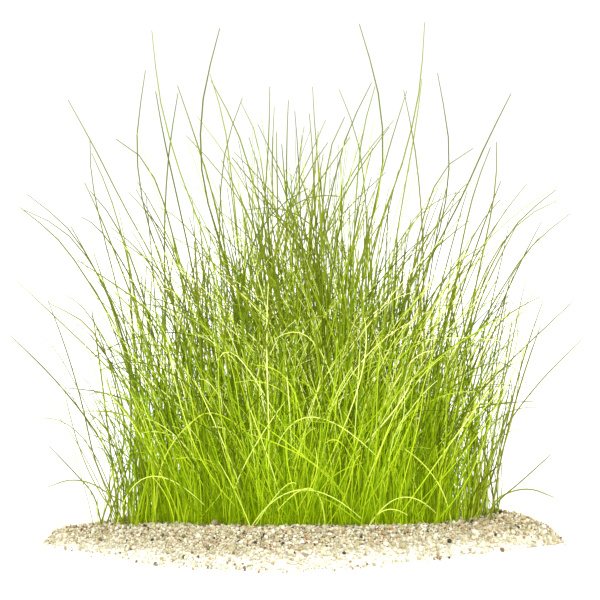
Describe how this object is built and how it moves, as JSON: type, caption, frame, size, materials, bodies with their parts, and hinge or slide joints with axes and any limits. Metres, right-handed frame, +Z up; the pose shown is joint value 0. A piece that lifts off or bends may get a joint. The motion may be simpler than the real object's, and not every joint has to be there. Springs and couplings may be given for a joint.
{
  "type": "giant hairgrass aquarium plant",
  "caption": "Tall clump of thin round grass-like culms in tufts, rooted in a low oval bed of fine pale gravel that rests on a flat floor.",
  "frame": {"origin": "on the floor under the middle of the gravel bed", "axes": "+Z up; +X along the length of the bed, to the right as seen from the front; +Y from the front to the back"},
  "size_m": [0.3442, 0.1831, 0.312],
  "materials": {
    "gravel": "matt grains",
    "culms": "fresh green plant tissue, satin"
  },
  "bodies": {
    "root": {"gravel_bed": "gravel", "tuft_01": "culms", "tuft_02": "culms", "tuft_03": "culms", "tuft_04": "culms", "tuft_05": "culms", "tuft_06": "culms", "tuft_07": "culms", "tuft_08": "culms", "tuft_09": "culms", "tuft_10": "culms", "tuft_11": "culms", "tuft_12": "culms", "tuft_13": "culms", "tuft_14": "culms", "tuft_15": "culms", "tuft_16": "culms", "tuft_17": "culms", "tuft_18": "culms", "tuft_19": "culms", "tuft_20": "culms", "tuft_21": "culms", "tuft_22": "culms", "tuft_23": "culms", "tuft_24": "culms", "tuft_25": "culms", "tuft_26": "culms", "tuft_27": "culms", "tuft_28": "culms", "tuft_29": "culms", "tuft_30": "culms", "tuft_31": "culms", "tuft_32": "culms", "tuft_33": "culms", "tuft_34": "culms", "tuft_35": "culms", "tuft_36": "culms", "tuft_37": "culms", "tuft_38": "culms", "tuft_39": "culms", "tuft_40": "culms", "tuft_41": "culms", "tuft_42": "culms", "tuft_43": "culms", "tuft_44": "culms", "tuft_45": "culms", "tuft_46": "culms", "tuft_47": "culms", "tuft_48": "culms"}
  },
  "joints": []
}
